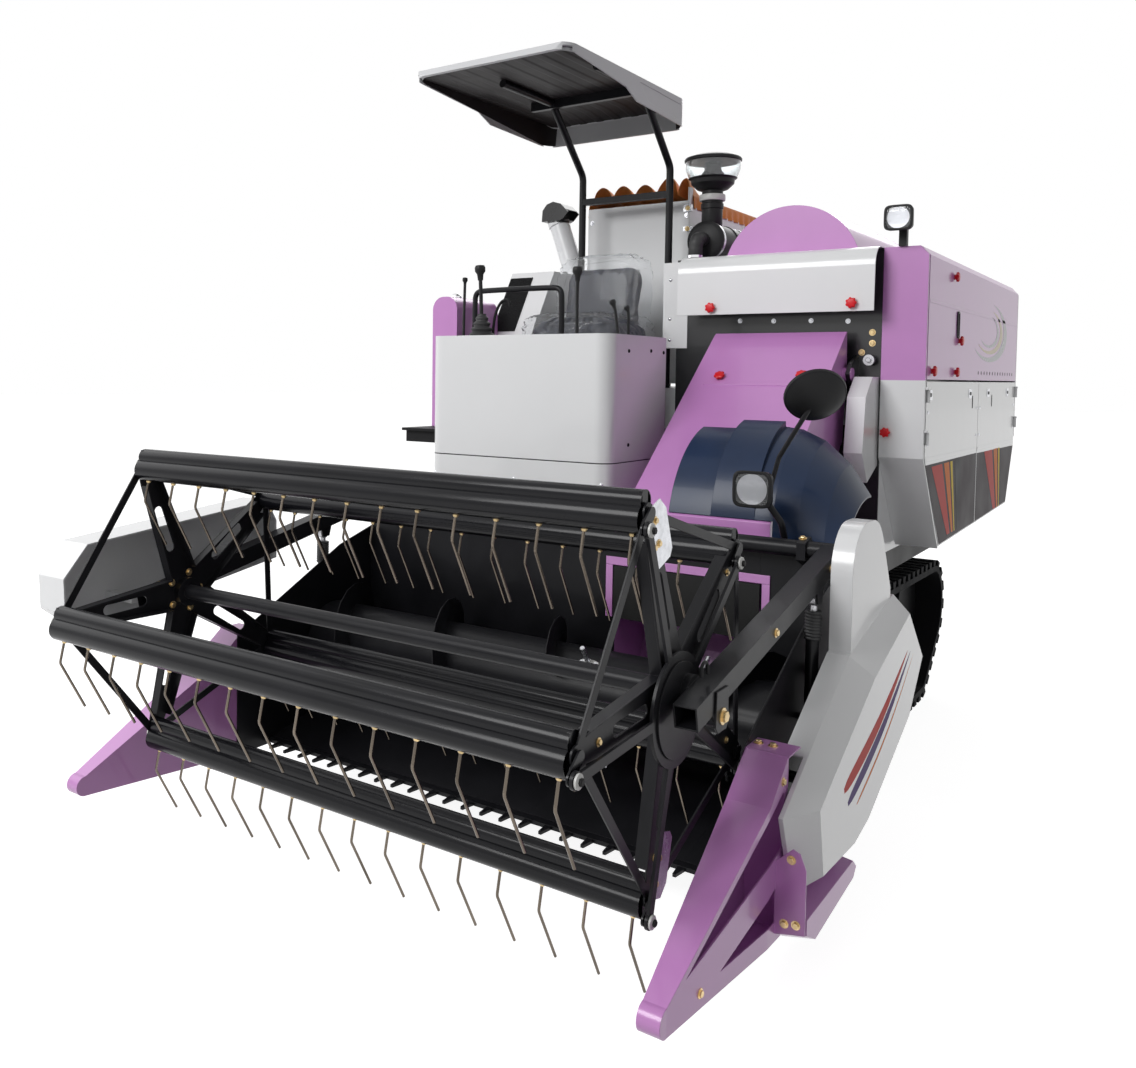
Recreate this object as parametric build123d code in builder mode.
"""Tracked full-feed combine harvester: header with tine reel, threshing body, operator's place.

Millimetres. X points to the machine's left, the header faces -Y, Z points up and is 0 at the
lugs' tips. Side outlines are lists of (y, z), front outlines are lists of (x, z).
"""
import os
from math import acos, atan2, cos, degrees, hypot, pi, radians, sin, tan

from build123d import *

os.makedirs("parts", exist_ok=True)

# Running clearances and sheet gauges
seat_gap = 0.3
pin_gap = 0.3
run_gap = 5.0
sheet = 5.0
light_sheet = 3.0

# Reel: axis, pivot circle of the five tine bars, and places along the shaft
reel_y, reel_z = -1880.0, 820.0
bar_count = 5
bar_circle = 486.0
bar_first_angle = 38.6
bar_half = 924.0
bar_low_lobe, bar_high_lobe = 36.0, 27.0
bar_low_drop, bar_high_rise = 16.0, 26.0
shaft_radius = 25.0
journal_radius = 12.0
spider_x, spider_gauge, spider_depth = 929.0, 5.0, 30.0
spider_hub = 78.0
arm_root, arm_tip = 120.0, 64.0
strap_width = 24.0

# Tines hang from each bar: (back, down) corners of the wire below the pivot
tine_count = 15
tine_half = 895.0
tine_wire = 4.0
tine_route = [(-4.0, -48.0), (-20.0, -118.0), (66.0, -275.0)]

# Tine control: disc off the reel's axis, ring frame that turns on it, cranks on the bars
control_y, control_z = -40.0, -34.0
control_disc, control_rim = 118.0, 22.0
control_x, control_gauge = 950.0, 8.0
crank_x, crank_gauge, crank_width = 939.0, 5.0, 30.0
crank_pin = 8.0

# Reel arms and the tube that joins them
arm_x, arm_tube, arm_wall = 980.0, 60.0, 4.0
arm_pivot_y, arm_pivot_z = -862.0, 1034.0
arm_nose = 118.0
torsion_radius, torsion_half = 28.0, 1040.0
reel_ram_x, reel_ram_foot_y, reel_ram_foot_z = 1020.0, -1100.0, 560.0
reel_ram_head_y = -1092.0
ram_radius, ram_rod, ram_pin, ram_eye_half = 20.0, 11.0, 10.0, 10.0
ram_head_drop, ram_eye_slack = 60.0, 4.6

# Header trough, auger and knife
header_half = 988.0
auger_y, auger_z = -1075.0, 490.0
auger_pipe, auger_flight, auger_running = 150.0, 240.0, 12.0
auger_half, flight_pitch, flight_gauge = 975.0, 480.0, 4.0
floor_angle = 13.0
knife_y = -1400.0
rear_wall_top = 1000.0
guard_pitch, guard_length, guard_width = 76.2, 88.0, 26.0
divider_tip_y, divider_rear_y, divider_top = -2215.0, -1560.0, 600.0
cover_in, cover_mid, cover_out = 1065.0, 1130.0, 1190.0
cover_bolts = ((-1180.0, 400.0), (-860.0, 640.0))

# Feeder house and its upper shaft
feeder_in, feeder_out = 200.0, 760.0
feeder_pivot_y, feeder_pivot_z = 60.0, 1610.0
feeder_depth = 428.0
feeder_mouth_top = 900.0

# Threshing body and its left side
body_front, body_rear = 160.0, 2400.0
body_right, body_left = -20.0, 880.0
body_floor, body_top = 900.0, 2120.0
body_wall = 8.0
side_out, side_gauge = 1050.0, 25.0
side_seam, side_trim = 1588.0, 1276.0
door_split_y = 1276.0
hood_x, hood_z, hood_radius = 480.0, 2030.0, 300.0

# Operator's place
console_front, console_rear = -700.0, -620.0
console_right, console_left = -770.0, 100.0
console_top, console_seam, console_low = 1755.0, 1250.0, 1130.0
seam_depth = 2.0
floor_z = 1350.0
deck_z = 1540.0
post_y, post_right_x, post_left_x = 300.0, -600.0, -133.0
post_radius = 17.0
canopy_right, canopy_left = -890.0, -110.0
canopy_front, canopy_rear, canopy_top = -700.0, 435.0, 2905.0
tank_right, tank_left, tank_front, tank_rear = -650.0, -90.0, 450.0, 1750.0
tank_floor, tank_top = 1560.0, 2440.0

# Tracks: wheels as (y, z, radius of the track's inner face), front lower wheel first
track_middle, track_gauge, track_width = 60.0, 1120.0, 450.0
band, lug = 28.0, 30.0
track_pitch = 90.0
bottom_wheel = 85.0
bottom_z = lug + band + bottom_wheel
track_wheels = [
    (230.0, bottom_z, bottom_wheel),
    (1250.0, bottom_z, bottom_wheel),
    (1450.0, 425.0, 185.0),
    (-20.0, 450.0, 190.0),
]
inner_wheels = [485.0, 740.0, 995.0]


def turned(point, angle):
    """Point (y, z) turned by an angle in degrees from +Y towards +Z."""
    c, s = cos(radians(angle)), sin(radians(angle))
    return point[0] * c - point[1] * s, point[0] * s + point[1] * c


def block(x, y, z, mode=Mode.ADD):
    """Box between two x, two y and two z planes."""
    middle = [(low + high) / 2 for low, high in (x, y, z)]
    with Locations(tuple(middle)):
        Box(x[1] - x[0], y[1] - y[0], z[1] - z[0], mode=mode)


def side_prism(outline, x_from, x_to, mode=Mode.ADD):
    """Extrude a side outline of (y, z) corners between two x planes."""
    with BuildSketch(Plane.YZ.offset(x_from)) as face:
        with BuildLine():
            Polyline(*outline, close=True)
        make_face()
    extrude(face.sketch, amount=x_to - x_from, mode=mode)


def front_prism(outline, y_from, y_to, mode=Mode.ADD):
    """Extrude a front outline of (x, z) corners between two y planes."""
    with BuildSketch(Plane.XZ.offset(-y_to)) as face:
        with BuildLine():
            Polyline(*outline, close=True)
        make_face()
    extrude(face.sketch, amount=y_to - y_from, mode=mode)


def outline_face(plane, outline, grow=0.0):
    """Face with straight sides on a plane, grown or shrunk by an amount."""
    with BuildSketch(plane) as face:
        with BuildLine():
            Polyline(*outline, close=True)
        make_face()
        if grow:
            offset(amount=grow, kind=Kind.INTERSECTION)
    return face.sketch


def box_face(y, x, z):
    """Rectangle across Y between pairs of x and z planes."""
    return outline_face(Plane.XZ.offset(-y), [(x[0], z[0]), (x[1], z[0]), (x[1], z[1]), (x[0], z[1])])


def disc(radius, x_from, x_to, y, z, mode=Mode.ADD):
    """Round bar along X."""
    with BuildSketch(Plane.YZ.offset(x_from)) as face:
        with Locations((y, z)):
            Circle(radius)
    extrude(face.sketch, amount=x_to - x_from, mode=mode)


def post(radius, x, y, z_from, z_to, mode=Mode.ADD):
    """Round bar along Z."""
    with BuildSketch(Plane.XY.offset(z_from)) as face:
        with Locations((x, y)):
            Circle(radius)
    extrude(face.sketch, amount=z_to - z_from, mode=mode)


def bar_between(radius, start, end, mode=Mode.ADD):
    """Round bar between two points."""
    along = Vector(*end) - Vector(*start)
    with BuildSketch(Plane(origin=start, z_dir=along)) as face:
        Circle(radius)
    extrude(face.sketch, amount=along.length, mode=mode)


def bent_rod(points, radius, bend, mode=Mode.ADD):
    """Round bar along straight runs with equal bends."""
    with BuildLine() as route:
        FilletPolyline(*points, radius=bend)
    with BuildSketch(Plane(origin=points[0], z_dir=route.line % 0)) as end:
        Circle(radius)
    sweep(end.sketch, path=route.line, mode=mode)


def belt_outline(wheels, grow):
    """Closed line of tangents and arcs round wheels (y, z, radius), each grown by one amount."""
    turns = []
    for here, there in zip(wheels, wheels[1:] + wheels[:1]):
        run = hypot(there[0] - here[0], there[1] - here[1])
        heading = atan2(there[1] - here[1], there[0] - here[0])
        turns.append(heading - acos((here[2] - there[2]) / run))
    for number, (y, z, radius) in enumerate(wheels):
        reach = radius + grow
        arrive, leave = turns[number - 1], turns[number]
        sweep_angle = degrees(leave - arrive) % 360
        CenterArc((y, z), reach, degrees(arrive), sweep_angle)
        y_next, z_next, radius_next = wheels[(number + 1) % len(wheels)]
        reach_next = radius_next + grow
        Line(
            (y + reach * cos(leave), z + reach * sin(leave)),
            (y_next + reach_next * cos(leave), z_next + reach_next * sin(leave)),
        )


# Rubber tracks: a band with lugs on its outside
track_sides = {"left": track_middle + track_gauge / 2, "right": track_middle - track_gauge / 2}
tracks = {}
for side, middle_x in track_sides.items():
    with BuildPart() as track:
        with BuildSketch(Plane.YZ.offset(middle_x - track_width / 2)) as track_side:
            with BuildLine() as outer_line:
                belt_outline(track_wheels, band)
            make_face()
            loop = outer_line.wires()[0]
            lug_count = round(loop.length / track_pitch)
            lug_places = []
            for number in range(lug_count):
                reach = (number + 0.5) * loop.length / lug_count
                point = loop.position_at(reach, position_mode=PositionMode.LENGTH)
                way = loop.tangent_at(reach, position_mode=PositionMode.LENGTH)
                turn = degrees(atan2(way.Y, way.X))
                lug_places.append(Location((point.X, point.Y, 0), (0, 0, turn)))
            with Locations(*lug_places):
                Trapezoid(54, 2 * lug, 72)
            with BuildLine():
                belt_outline(track_wheels, 0)
            make_face(mode=Mode.SUBTRACT)
            with Locations((track_wheels[0][0], -lug)):
                Rectangle(2 * lug_count * lug, 2 * lug, mode=Mode.SUBTRACT)
        extrude(amount=track_width)
    tracks[side] = track

# Sprocket, idler, rollers and the beam that carries them, one set inside each track
wheel_half, beam_half = 95.0, 45.0
beam_low, beam_high = 190.0, 300.0
sprocket, idler = track_wheels[3], track_wheels[2]
carrier_y, carrier_radius = 710.0, 58.0
top_share = (carrier_y - sprocket[0]) / (idler[0] - sprocket[0])
carrier_z = (sprocket[1] + sprocket[2]) * (1 - top_share) + (idler[1] + idler[2]) * top_share
carrier_z -= carrier_radius + 1
with BuildPart() as track_gear:
    for middle_x in track_sides.values():
        near, far = middle_x - wheel_half, middle_x + wheel_half
        block((middle_x - beam_half, middle_x + beam_half), (130, 1370), (beam_low, beam_high))
        side_prism(
            [(1330, beam_low), (idler[0] + 30, idler[1] - 40), (idler[0] + 30, idler[1] + 40),
             (1390, idler[1] + 40), (1250, beam_high)],
            middle_x - beam_half, middle_x + beam_half)
        block((middle_x - 30, middle_x + 30), (carrier_y - 30, carrier_y + 30), (beam_high, 520))
        disc(carrier_radius - seat_gap, near, far, carrier_y, carrier_z)
        for y in [track_wheels[0][0], *inner_wheels, track_wheels[1][0]]:
            side_prism([(y - 60, beam_low + 1), (y + 60, beam_low + 1), (y + 22, bottom_z - 22),
                        (y - 22, bottom_z - 22)], middle_x - 20, middle_x + 20)
            for x_from, x_to in ((near, middle_x - 32), (middle_x + 32, far)):
                disc(bottom_wheel - seat_gap, x_from, x_to, y, bottom_z)
            disc(22, near, far, y, bottom_z)
        for x_from, x_to in ((near, middle_x - 60), (middle_x + 60, far)):
            disc(idler[2] - seat_gap, x_from, x_to, idler[0], idler[1])
        disc(34, near, far, idler[0], idler[1])

# Drive sprockets with the gearbox and axle tubes between them
tooth = 22.0
with BuildPart() as drive_gearbox:
    side_prism([(-150, 330), (130, 330), (160, 470), (110, 640), (-120, 640), (-170, 480)],
               track_middle - 130, track_middle + 130)
    disc(62, track_sides["right"] + 40, track_sides["left"] - 40, sprocket[0], sprocket[1])
    for middle_x in track_sides.values():
        disc(70, middle_x - 50, middle_x + 50, sprocket[0], sprocket[1])
        with BuildSketch(Plane.YZ.offset(middle_x - 20)) as wheel:
            with Locations((sprocket[0], sprocket[1])):
                Circle(sprocket[2] - tooth)
                with PolarLocations(sprocket[2] - tooth - seat_gap, 12):
                    Circle(tooth)
        extrude(wheel.sketch, amount=40)

# Chassis: ladder frame over the tracks, lower rails between them, tow hitch, lashing plates
hitch_x, hitch_y, hitch_bore = 90.0, 2392.0, 16.0
hitch_end = bar_circle * cos(radians(bar_first_angle + 144 - 180)) - reel_y - control_y + 20
lashing_x, lashing_y, lashing_z = (-640.0, 760.0), -295.0, 815.0
lashing_gauge, lashing_bore = 16.0, 17.0
rail_low, rail_high = 770.0, 860.0
rail_width = 80.0
cross_beams = (-250, -60, 350, 900, 1290, 1690, 2220)
lift_x, lift_foot_y, lift_foot_z = 320.0, -60.0, 590.0
lift_radius, lift_rod_radius, lift_pin, lift_eye_slack = 34.0, 18.0, 12.0, 3.4
with BuildPart() as chassis_frame:
    for x in (-720, -240, 280, 790):
        block((x, x + rail_width), (-250, 2300), (rail_low, rail_high))
    for y in cross_beams:
        block((-720, 870), (y, y + rail_width), (rail_low, rail_high))
    for x in (-230, 290):
        block((x, x + 60), (180, 1500), (200, 290))
        for y in (200, 740, 1420):
            block((x, x + 60), (y, y + 80), (290, rail_low))
    for y in (300, 1180):
        disc(38, track_sides["right"] + beam_half + seat_gap,
             track_sides["left"] - beam_half - seat_gap, y, 245)
    for x in (-640, -150):
        for y in (1290, 1690):
            block((x, x + 50), (y, y + 50), (rail_high, tank_floor - seat_gap))
    for x in (track_middle - 146 - seat_gap, track_middle + 130 + seat_gap):
        side_prism([(-60, rail_low), (20, rail_low), (40, 570), (-80, 570)], x, x + 16)
    for x in (lift_x - 48, lift_x + 38):
        side_prism([(lift_foot_y - 50, rail_low), (lift_foot_y + 50, rail_low),
                    (lift_foot_y + 24, lift_foot_z - 24), (lift_foot_y - 24, lift_foot_z - 24)],
                   x, x + 10)
    disc(lift_pin, lift_x - 48, lift_x + 48, lift_foot_y, lift_foot_z)
    block((60, 120), (2300, 2312), (690, rail_high))
    block((60, 120), (2300, hitch_end), (700, 714))
    post(hitch_bore, hitch_x, hitch_y, 690, 730, mode=Mode.SUBTRACT)
    for x in lashing_x:
        block((x, x + lashing_gauge), (-330, -250), (rail_low, rail_high))
        disc(lashing_bore, x - 5, x + 25, lashing_y, lashing_z, mode=Mode.SUBTRACT)

# Engine: one plain block on the frame behind the seat
with BuildPart() as engine_block:
    block((-640, -160), (420, 1180), (rail_high, 1480))

# Engine compartment: open-bottomed housing with a louvred right side
with BuildPart() as engine_cover:
    block((-905, -60), (250, 1270), (rail_high, deck_z))
    block((-905 + sheet, -60 - sheet), (250 + sheet, 1270 - sheet), (rail_high, deck_z - sheet),
          mode=Mode.SUBTRACT)
    for row in range(9):
        z = 960 + 55 * row
        block((-906, -905 + sheet), (420, 820), (z, z + 26), mode=Mode.SUBTRACT)

# Hinges of the side doors
cover_y_from, cover_y_to = 172.0, body_rear - 20.0
door_hinge_x = side_out + 5.0
door_hinges, hinge_length, hinge_pin = (1330.0, 1500.0), 50.0, 4.0
front_hinge_y, rear_hinge_y = cover_y_from + 6, cover_y_to - 8

# Threshing body: hollow housing, open to the feeder in front and to the straw outlet behind
with BuildPart() as threshing_body:
    block((body_right, body_left), (body_front, body_rear), (body_floor, body_top))
    block((body_right + body_wall, body_left - body_wall),
          (body_front + body_wall, body_rear - body_wall),
          (body_floor + body_wall, body_top - body_wall), mode=Mode.SUBTRACT)
    block((feeder_in + 20, feeder_out - 20), (body_front, body_front + body_wall), (1400, 1760),
          mode=Mode.SUBTRACT)
    block((body_right + 60, body_left - 60), (body_rear - body_wall, body_rear), (1000, 1420),
          mode=Mode.SUBTRACT)
    for x in (feeder_in - 30, feeder_out + 14):
        side_prism([(body_front, 1540), (body_front, 1690), (feeder_pivot_y, feeder_pivot_z + 42),
                    (feeder_pivot_y - 36, feeder_pivot_z), (feeder_pivot_y, feeder_pivot_z - 42)],
                   x, x + 16)
        disc(26 + pin_gap, x - 1, x + 17, feeder_pivot_y, feeder_pivot_z, mode=Mode.SUBTRACT)
    side_prism([(body_rear - body_wall, 1440), (body_rear - body_wall, 1452), (2190, 1190),
                (2196, 1182)], body_right + 1, body_left - 1)
    block((body_left, side_out), (body_rear - 14, body_rear), (side_trim, body_top - 40))
    for z in door_hinges:
        block((side_out - 8, door_hinge_x + 8), (body_rear - 13, body_rear - 4),
              (z + hinge_length + 1, z + hinge_length + 11))
        block((side_out + 0.6, door_hinge_x + 8), (rear_hinge_y, body_rear - 4),
              (z + hinge_length + 1, z + hinge_length + 11))
        post(hinge_pin, door_hinge_x, rear_hinge_y, z + 4, z + hinge_length + 6)
    block((body_left, side_out - 60), (520, body_rear - 14), (body_floor, body_floor + 10))
    for x in (280, 790):
        block((x, x + rail_width), (200, 2260), (rail_high, body_floor))
    for y in (420, 1120, 1820):
        block((body_left - 12, body_left), (y, y + 60), (body_top, body_top + 12))
        bar_between(8, (body_left, y, body_top + 12), (body_left, y + 60, body_top + 12))
        bar_between(hinge_pin, (body_left, y, body_top + 12), (body_left, y + 120, body_top + 12))

# White cover across the body's front, rounded over its top edge
cover_low, cover_top, cover_from_x = 1862.0, body_top + seat_gap + light_sheet, 34.0
with BuildPart() as front_cover:
    with BuildSketch(Plane.YZ.offset(cover_from_x)) as cover_side:
        with BuildLine():
            Line((body_front + 40, cover_top), (120, cover_top))
            ThreePointArc((120, cover_top), (65, cover_top - 27), (45, 2045))
            Line((45, 2045), (40, cover_low))
            Line((40, cover_low), (40 + light_sheet, cover_low))
            Line((40 + light_sheet, cover_low), (45 + light_sheet, 2045))
            ThreePointArc((45 + light_sheet, 2045), (67, cover_top - 30),
                          (120, cover_top - light_sheet))
            Line((120, cover_top - light_sheet), (body_front + 40, cover_top - light_sheet))
            Line((body_front + 40, cover_top - light_sheet), (body_front + 40, cover_top))
        make_face()
    extrude(amount=body_left - 6 - cover_from_x)
    block((body_right - 67, cover_from_x - seat_gap),
          (body_front - seat_gap - light_sheet, body_front - seat_gap), (1722, cover_top - 13))

# Round hood over the threshing drum
with BuildPart() as drum_hood:
    with BuildSketch(Plane.XZ.offset(-2080)) as hood_end:
        with Locations((hood_x, hood_z)):
            Circle(hood_radius)
        with Locations((hood_x, body_top + seat_gap - hood_radius)):
            Rectangle(3 * hood_radius, 2 * hood_radius, mode=Mode.SUBTRACT)
    extrude(amount=2080 - 200)
    with BuildSketch(Plane.XZ.offset(-2080 + light_sheet)) as hood_inside:
        with Locations((hood_x, hood_z)):
            Circle(hood_radius - light_sheet)
        with Locations((hood_x, body_top + seat_gap - hood_radius)):
            Rectangle(3 * hood_radius, 2 * hood_radius, mode=Mode.SUBTRACT)
    extrude(amount=2080 - 200 - 2 * light_sheet, mode=Mode.SUBTRACT)

# Fixed strip between the front and the side doors, sloping back below the trim line
with BuildPart() as front_strip:
    side_prism([(146, body_top), (158, body_top), (158, side_trim), (472, 886), (460, 880),
                (146, side_trim)], body_left + seat_gap, side_out)
    block((body_left + seat_gap, body_left + 6), (150, 230), (side_trim, body_top - 40))
    with BuildSketch(Plane.XZ.offset(-200)) as corner:
        with BuildLine():
            Polyline((side_out - 32, body_top), (side_out, body_top), (side_out, body_top - 36),
                     close=True)
        make_face()
    extrude(amount=100, mode=Mode.SUBTRACT)
    for z in door_hinges:
        block((side_out - 8, door_hinge_x + 8), (148, 157),
              (z + hinge_length + 1, z + hinge_length + 11))
        block((side_out + 0.6, door_hinge_x + 8), (148, front_hinge_y),
              (z + hinge_length + 1, z + hinge_length + 11))
        post(hinge_pin, door_hinge_x, front_hinge_y, z + 4, z + hinge_length + 6)

# Upper side cover, hinged along the body's top edge
hinge_x, hinge_z = body_left, body_top + 12.0
with BuildPart() as side_cover:
    front_prism([(hinge_x + 6, body_top), (side_out - 32, body_top), (side_out, body_top - 36),
                 (side_out, side_seam + 4), (side_out - side_gauge, side_seam + 4),
                 (side_out - side_gauge, body_top - 46), (side_out - 44, body_top - side_gauge),
                 (hinge_x + 6, body_top - side_gauge)], cover_y_from, cover_y_to)
    front_prism([(hinge_x + 30, body_top - 4), (side_out - 35, body_top - 4),
                 (side_out - 4, body_top - 39), (side_out - 4, side_seam + 12),
                 (side_out - side_gauge, side_seam + 12), (side_out - side_gauge, body_top - 46),
                 (side_out - 44, body_top - side_gauge), (hinge_x + 30, body_top - side_gauge)],
                cover_y_from + 8, cover_y_to - 8, mode=Mode.SUBTRACT)
    for y in (482, 1182, 1882):
        block((hinge_x + 6, hinge_x + 26), (y, y + 60), (body_top, body_top + 6))
        block((hinge_x, hinge_x + 12), (y, y + 59), (hinge_z - 6, hinge_z + 2))
        bar_between(8, (hinge_x, y, hinge_z), (hinge_x, y + 59, hinge_z))
        bar_between(hinge_pin + pin_gap, (hinge_x, y - 1, hinge_z), (hinge_x, y + 60, hinge_z),
                    mode=Mode.SUBTRACT)

# Lower side doors, hinged at the body's front and rear corners
door_top, door_x = side_seam - 4, side_out - side_gauge
door_outlines = {
    "front": [(cover_y_from, door_top), (cover_y_from, side_trim), (484, 888),
              (door_split_y - 3, 901), (door_split_y - 3, door_top)],
    "rear": [(door_split_y + 3, door_top), (door_split_y + 3, 901), (2174, 917),
             (cover_y_to - 2, side_trim - 36), (cover_y_to - 2, door_top)],
}
door_edges = {"front": front_hinge_y, "rear": rear_hinge_y}
doors = {}
for end, outline in door_outlines.items():
    with BuildPart() as door:
        side_prism(outline, door_x, side_out)
        with BuildSketch(Plane.YZ.offset(door_x)) as pocket:
            with BuildLine():
                Polyline(*outline, close=True)
            make_face()
            offset(amount=-10, kind=Kind.INTERSECTION)
        extrude(pocket.sketch, amount=side_gauge - 4, mode=Mode.SUBTRACT)
        for z in door_hinges:
            post(8, door_hinge_x, door_edges[end], z, z + hinge_length)
            post(hinge_pin + pin_gap, door_hinge_x, door_edges[end], z + 1, z + hinge_length + 1,
                 mode=Mode.SUBTRACT)
    doors[end] = door

# Belt drives on the body's left wall: pulleys as (y, z, radius) and belts as pairs of pulleys
pulley_table = {"drum": (620, 1800, 150), "fan": (1180, 1180, 120), "sieve": (1900, 1120, 95),
                "engine": (640, 1120, 85), "straw": (1960, 1700, 110)}
belt_table = [("engine", "drum", 900), ("engine", "fan", 930), ("drum", "straw", 960),
              ("fan", "sieve", 960)]
with BuildPart() as belt_drive:
    for y, z, radius in pulley_table.values():
        disc(24, body_left, 1000, y, z)
        for x in (900, 930, 960):
            disc(radius, x, x + 22, y, z)
with BuildPart() as drive_belts:
    for first, second, x in belt_table:
        pair = sorted((pulley_table[first], pulley_table[second]))
        with BuildSketch(Plane.YZ.offset(x + 3)) as belt:
            with BuildLine():
                belt_outline(pair, 12)
            make_face()
            with BuildLine():
                belt_outline(pair, seat_gap)
            make_face(mode=Mode.SUBTRACT)
        extrude(belt.sketch, amount=16)

# White guard beside the feeder's upper end
with BuildPart() as angled_guard:
    side_prism([(body_front - seat_gap, 1600), (60, 1600), (-30, 1520), (-60, 1300), (20, 1180),
                (body_front - seat_gap, 1240)], 800, 872)
    side_prism([(body_front - seat_gap, 1594), (64, 1594), (-24, 1516), (-53, 1302), (23, 1188),
                (body_front - seat_gap, 1248)], 800, 866, mode=Mode.SUBTRACT)

# Feeder house: sheet duct from the trough's mouth up to the body, turning on its upper shaft
plate_slope = tan(radians(39.6))
mouth_y = auger_y + auger_flight + auger_running + sheet
top_low_z = rear_wall_top + 36


def feeder_top(y):
    """Height of the feeder's top plate at y."""
    return top_low_z + (y - mouth_y) * plate_slope


beam_rear = mouth_y + 61
feeder_front = mouth_y + seat_gap
feeder_outline = [(feeder_front, 236), (mouth_y + 130, 300), (-400, feeder_top(-400) - feeder_depth),
                  (60, feeder_top(60) - feeder_depth), (96, feeder_top(60) - 120),
                  (88, feeder_top(60) + 20), (60, feeder_top(60)), (beam_rear + 4, feeder_top(beam_rear + 4)),
                  (beam_rear + 4, feeder_mouth_top + 32), (feeder_front, feeder_mouth_top + 32)]
feeder_inside = [(mouth_y, 236 + sheet), (mouth_y + 128, 300 + sheet),
                 (-402, feeder_top(-400) - feeder_depth + 2 * sheet),
                 (100, feeder_top(100) - feeder_depth + 2 * sheet), (100, feeder_top(60) - 10),
                 (60, feeder_top(60) - 2 * sheet), (beam_rear + 12, feeder_top(beam_rear) - sheet),
                 (beam_rear + 12, feeder_mouth_top + 24), (mouth_y, feeder_mouth_top + 24)]
lift_eye_y, lift_eye_z = -425.0, 800.0
with BuildPart() as feeder_house:
    side_prism(feeder_outline, feeder_in, feeder_out)
    side_prism(feeder_inside, feeder_in + sheet, feeder_out - sheet, mode=Mode.SUBTRACT)
    disc(26, feeder_in - 34, feeder_out + 34, feeder_pivot_y, feeder_pivot_z)
    for x in (lift_x - 32, lift_x + 22):
        side_prism([(-460, 830), (-500, 738), (lift_eye_y - 6, lift_eye_z - 26),
                    (lift_eye_y + 24, lift_eye_z - 10), (lift_eye_y + 24, lift_eye_z + 20),
                    (-410, 945)], x, x + 10)
    disc(lift_pin, lift_x - 32, lift_x + 32, lift_eye_y, lift_eye_z)

# Header trough: floor, rear wall with the feeder's mouth, side walls and rear beam, in three widths
# with a seam at each side of the mouth
trough_radius = auger_flight + auger_running
tangent_y = auger_y + trough_radius * sin(radians(floor_angle))
tangent_z = auger_z - trough_radius * cos(radians(floor_angle))
knife_z = tangent_z - (tangent_y - knife_y) * tan(radians(floor_angle))
with BuildPart() as header_trough:
    with BuildSketch(Plane.YZ.offset(-header_half)) as trough_side:
        with BuildLine():
            Line((knife_y, knife_z), (tangent_y, tangent_z))
            CenterArc((auger_y, auger_z), trough_radius, floor_angle - 90, 90 - floor_angle)
            Line((auger_y + trough_radius, auger_z), (auger_y + trough_radius, rear_wall_top))
            offset(amount=sheet, side=Side.RIGHT)
        make_face()
    extrude(trough_side.sketch, amount=2 * header_half)
    block((feeder_in + sheet, feeder_out - sheet), (mouth_y - 3 * sheet, mouth_y + sheet),
          (300, feeder_mouth_top), mode=Mode.SUBTRACT)
    for x_from, x_to in ((-header_half - sheet, -header_half), (header_half, header_half + sheet)):
        side_prism([(-1585, 132), (knife_y, 132), (mouth_y, 210), (mouth_y, 930), (-1020, 870),
                    (-1585, divider_top - 8)], x_from, x_to)
    for y, z in cover_bolts:
        disc(18, header_half, cover_in - seat_gap, y, z)
    block((-header_half, header_half), (mouth_y - 1, mouth_y + 60), (940, rear_wall_top))
    side_prism([(-960, 205), (-900, 205), (-900, 303), (-960, 263)], -header_half, header_half)
    for x_from in (-header_half + 60, 300, header_half - 90):
        side_prism([(mouth_y + 50, rear_wall_top - 5), (mouth_y + 50, rear_wall_top + 10),
                    (arm_pivot_y + 20, arm_pivot_z + 40), (arm_pivot_y - 36, arm_pivot_z + 24),
                    (arm_pivot_y - 36, arm_pivot_z - 32), (mouth_y - 4, rear_wall_top - 30)],
                   x_from, x_from + 30)
        disc(torsion_radius + pin_gap, x_from - 1, x_from + 31, arm_pivot_y, arm_pivot_z,
             mode=Mode.SUBTRACT)
    for sign in (1, -1):
        near, far = sorted((sign * header_half, sign * (reel_ram_x + ram_eye_half)))
        disc(ram_pin, near, far, reel_ram_foot_y, reel_ram_foot_z)
    for seam_x in (feeder_in + sheet - seat_gap, feeder_out - sheet):
        block((seam_x, seam_x + seat_gap), (-1700, -700), (0, 1200), mode=Mode.SUBTRACT)

# Cutter bar with pointed guards
with BuildPart() as knife_bar:
    block((-header_half + 1, header_half - 1), (knife_y - 34, knife_y), (knife_z - 14, knife_z - 1))
    guard_count = int(2 * (header_half - 30) / guard_pitch)
    with BuildSketch(Plane.XY.offset(knife_z - 12)) as guards:
        with GridLocations(guard_pitch, 0, guard_count, 1):
            Polygon((-guard_width / 2, knife_y - 30), (guard_width / 2, knife_y - 30),
                    (5, knife_y - guard_length), (-5, knife_y - guard_length), align=None)
    extrude(guards.sketch, amount=10)

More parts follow.
